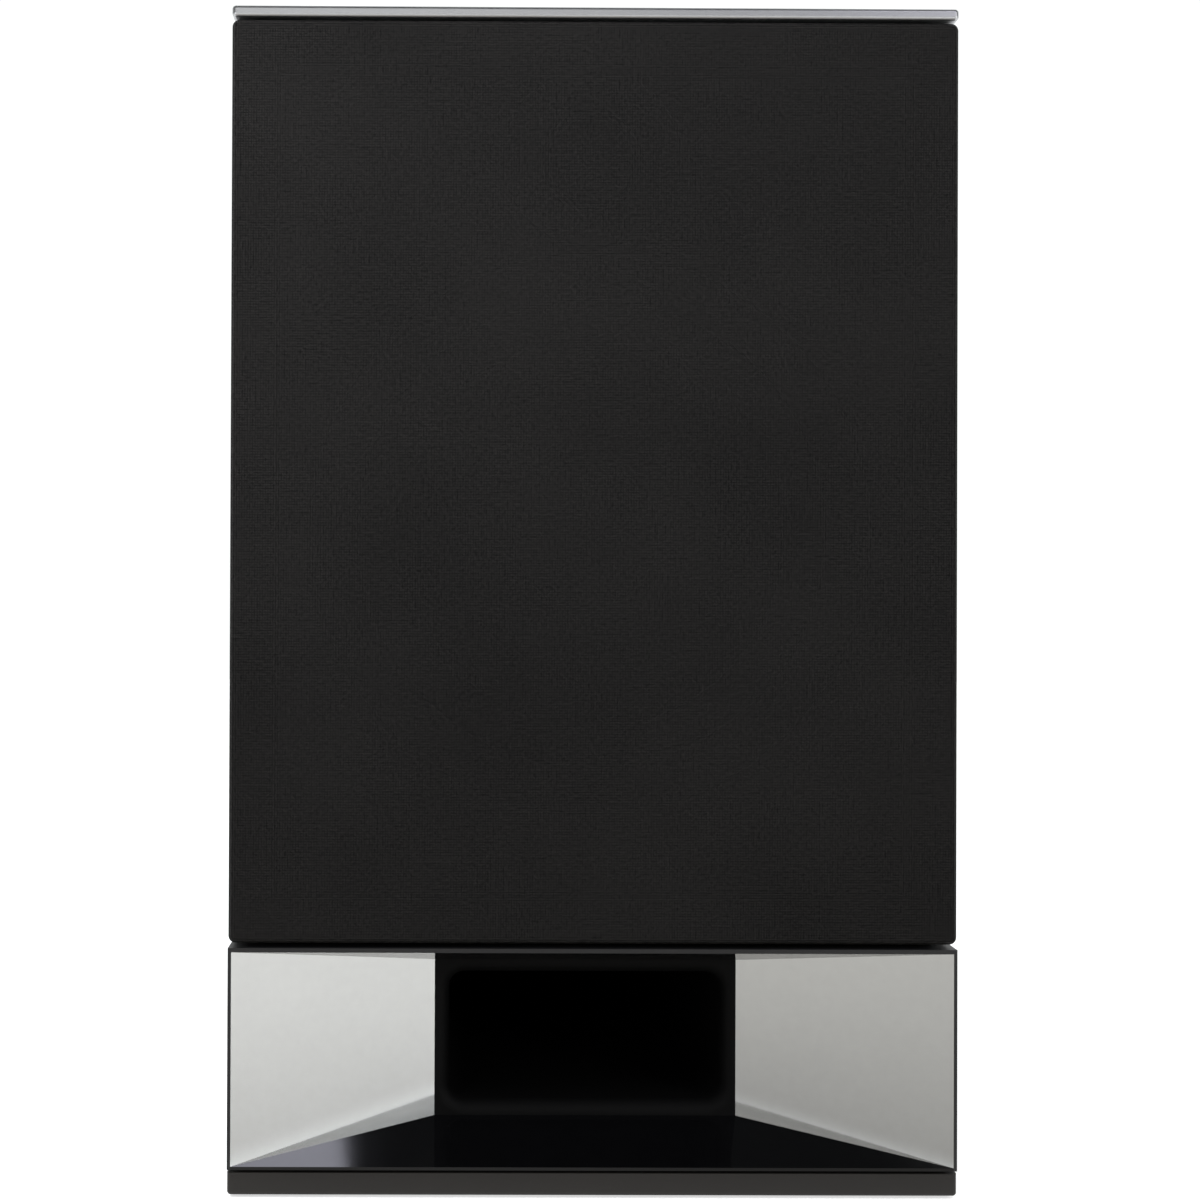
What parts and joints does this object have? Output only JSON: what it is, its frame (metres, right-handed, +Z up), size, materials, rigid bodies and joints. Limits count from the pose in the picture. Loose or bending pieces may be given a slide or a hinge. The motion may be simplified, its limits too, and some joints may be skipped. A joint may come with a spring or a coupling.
{
  "type": "bookshelf speaker",
  "caption": "Two-way bookshelf speaker with a dark cloth grille, a thin metal top plate and a foot that holds a mirror-flared port mouth.",
  "frame": {"origin": "under the middle of the speaker, on the surface that its feet stand on", "axes": "+Z up, -Y towards the listener (the grille side), +X to the right of someone looking at the grille"},
  "size_m": [0.208, 0.27, 0.34],
  "materials": {
    "aluminium_plate": "satin anodised",
    "painted_panel": "satin lacquer on fibreboard",
    "raw_board": "bare fibreboard",
    "base_paint": "dark powder coat",
    "base_moulding": "fine-textured moulding",
    "gloss_black": "polished",
    "mirror": "polished",
    "port_plastic": "moulded",
    "black_foam_tape": "matt",
    "foot_rubber": "matt",
    "grille_cloth": "knitted",
    "frame_plastic": "moulded",
    "foam": "open-cell foam",
    "basket": "powder coat on a casting",
    "ferrite": "ground",
    "plated_steel": "zinc plated",
    "black_screw": "black oxide",
    "cone": "coated paper",
    "cap": "coated paper",
    "surround_rubber": "satin",
    "spider_cloth": "resin-dipped weave",
    "coil_wire": "enamelled copper wire",
    "faceplate": "black anodised",
    "dome_silk": "coated silk",
    "circuit_board": "solder resist",
    "film_capacitor": "wrapped film",
    "ceramic": "unglazed",
    "cable_jacket": "soft jacket",
    "cup_plastic": "moulded",
    "plated_brass": "gold plated",
    "red_knob": "tinted cover",
    "black_knob": "tinted cover",
    "phenolic": "paper laminate"
  },
  "bodies": {
    "speaker": {"base_housing": "base_moulding", "base_plate": "base_paint", "base_screws": "black_screw", "base_spacer": "black_foam_tape", "binding_post_black": "plated_brass", "binding_post_red": "plated_brass", "bottom_panel": "painted_panel", "cross_brace": "raw_board", "crossover_board": "circuit_board", "crossover_capacitors": "film_capacitor", "crossover_coils": "coil_wire", "crossover_resistor": "ceramic", "damping_pad_left": "foam", "damping_pad_rear": "foam", "damping_pad_right": "foam", "feet": "foot_rubber", "front_baffle": "painted_panel", "grille_cups": "foot_rubber", "horn_ceiling": "gloss_black", "horn_floor": "gloss_black", "mirror_wing_left": "mirror", "mirror_wing_right": "mirror", "port_elbow": "port_plastic", "port_tube": "port_plastic", "rear_panel": "painted_panel", "side_panel_left": "painted_panel", "side_panel_right": "painted_panel", "terminal_cup": "cup_plastic", "top_panel": "painted_panel", "top_plate": "aluminium_plate", "top_spacer": "black_foam_tape", "tweeter_faceplate": "faceplate", "tweeter_lead": "cable_jacket", "tweeter_magnet": "ferrite", "tweeter_pole_plate": "plated_steel", "tweeter_screws": "black_screw", "tweeter_surround": "dome_silk", "tweeter_yoke": "plated_steel", "wood_screws": "black_screw", "woofer_basket": "basket", "woofer_gasket": "surround_rubber", "woofer_lead": "cable_jacket", "woofer_magnet": "ferrite", "woofer_pole_plate": "plated_steel", "woofer_spider": "spider_cloth", "woofer_surround": "surround_rubber", "woofer_terminals": "phenolic", "woofer_yoke": "plated_steel"},
    "grille": {"grille_frame": "frame_plastic", "grille_cloth": "grille_cloth", "grille_pegs": "frame_plastic"},
    "woofer_cone_assembly": {"woofer_cone": "cone", "woofer_dust_cap": "cap", "woofer_voice_coil": "coil_wire"},
    "tweeter_dome_assembly": {"tweeter_dome": "dome_silk", "tweeter_voice_coil": "coil_wire"},
    "washer_red": {"clamp_washer_red": "plated_brass"},
    "washer_black": {"clamp_washer_black": "plated_brass"},
    "knob_red": {"binding_knob_red": "red_knob"},
    "knob_black": {"binding_knob_black": "black_knob"}
  },
  "joints": [
    {"name": "grille_pull", "type": "slide", "parent": "speaker", "child": "grille", "axis": [0, -1, 0], "range_m": [0, 0.04]},
    {"name": "woofer_travel", "type": "slide", "parent": "speaker", "child": "woofer_cone_assembly", "axis": [0, -1, 0], "range_m": [-0.004, 0.004], "stiffness_N_per_m": 1000, "deforming": ["woofer_surround", "woofer_spider"]},
    {"name": "tweeter_travel", "type": "slide", "parent": "speaker", "child": "tweeter_dome_assembly", "axis": [0, -1, 0], "range_m": [-0.0003, 0.0003], "stiffness_N_per_m": 1500, "deforming": ["tweeter_surround"]},
    {"name": "red_washer_travel", "type": "slide", "parent": "speaker", "child": "washer_red", "axis": [0, 1, 0], "range_m": [0, 0.004]},
    {"name": "red_knob_turn", "type": "hinge", "parent": "washer_red", "child": "knob_red", "pos_m": [-0.019, 0.12, 0.1343], "axis": [0, 1, 0], "range_deg": [0, 1440]},
    {"name": "black_washer_travel", "type": "slide", "parent": "speaker", "child": "washer_black", "axis": [0, 1, 0], "range_m": [0, 0.004]},
    {"name": "black_knob_turn", "type": "hinge", "parent": "washer_black", "child": "knob_black", "pos_m": [0.019, 0.12, 0.1343], "axis": [0, 1, 0], "range_deg": [0, 1440]}
  ],
  "couplings": [
    {"joint": "red_knob_turn", "follows": "red_washer_travel", "rad_per_m": 6283.2},
    {"joint": "black_knob_turn", "follows": "black_washer_travel", "rad_per_m": 6283.2}
  ]
}
